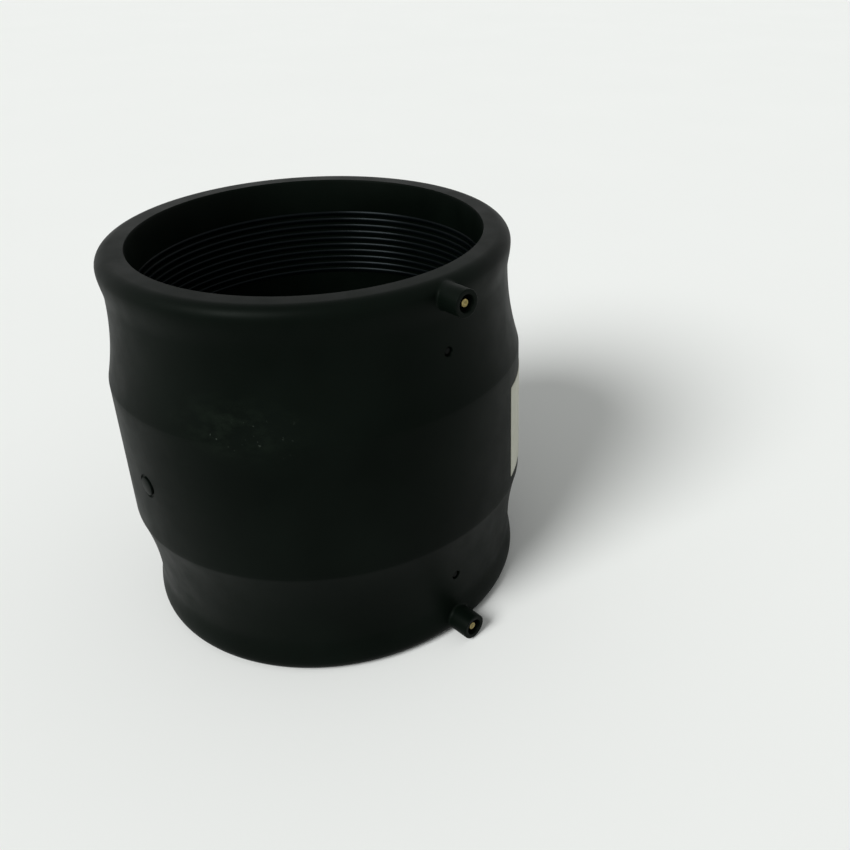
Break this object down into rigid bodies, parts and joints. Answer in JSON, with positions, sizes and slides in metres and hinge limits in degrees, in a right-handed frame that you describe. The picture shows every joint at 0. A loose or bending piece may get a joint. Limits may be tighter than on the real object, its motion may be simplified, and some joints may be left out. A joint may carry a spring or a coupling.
{
  "type": "electrofusion coupler",
  "caption": "Black plastic coupler that welds two plain pipe ends, with a heating coil in its bore and a shrouded pin terminal near each end.",
  "frame": {"origin": "middle of the bore, half way between the two end faces", "axes": "+Z along the bore towards the upper end, -Y towards the two terminals"},
  "size_m": [0.2462, 0.254, 0.233],
  "materials": {
    "body_plastic": "satin moulded",
    "coil_coating": "fused wire coating",
    "pin_brass": "turned",
    "indicator_plastic": "moulded",
    "label_film": "printed film, left plain"
  },
  "bodies": {
    "root": {"coupler_body": "body_plastic", "heating_coil": "coil_coating", "terminal_pin_upper": "pin_brass", "terminal_pin_lower": "pin_brass", "fusion_indicator_upper": "indicator_plastic", "fusion_indicator_lower": "indicator_plastic", "identification_label": "label_film"}
  },
  "joints": []
}
